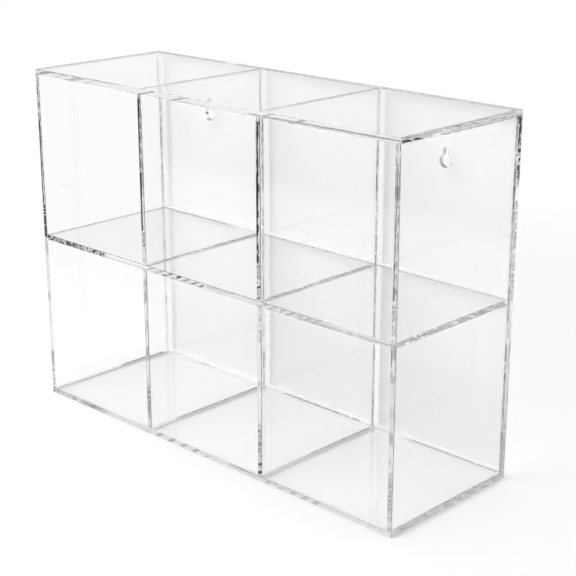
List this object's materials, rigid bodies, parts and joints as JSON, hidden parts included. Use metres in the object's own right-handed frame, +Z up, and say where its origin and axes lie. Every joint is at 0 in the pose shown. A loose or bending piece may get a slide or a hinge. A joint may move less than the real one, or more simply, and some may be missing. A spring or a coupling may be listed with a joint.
{
  "type": "open-front acrylic cabinet",
  "caption": "Clear acrylic open-front cabinet for suture cartons: rows of box compartments under a flat top, with keyhole slots in the back for hanging on a wall.",
  "frame": {"origin": "middle of the footprint, on the surface that the cabinet stands on", "axes": "+X to the viewer's right along the width, +Y towards the wall behind the cabinet, +Z up; the open front faces -Y"},
  "size_m": [0.406, 0.14, 0.298],
  "materials": {
    "clear_acrylic": "clear cast acrylic sheet, polished faces and polished edges"
  },
  "bodies": {
    "root": {"top_panel": "clear_acrylic", "bottom_panel": "clear_acrylic", "left_side": "clear_acrylic", "right_side": "clear_acrylic", "back_panel": "clear_acrylic", "shelf": "clear_acrylic", "upper_left_divider": "clear_acrylic", "upper_right_divider": "clear_acrylic", "lower_left_divider": "clear_acrylic", "lower_right_divider": "clear_acrylic"}
  },
  "joints": []
}
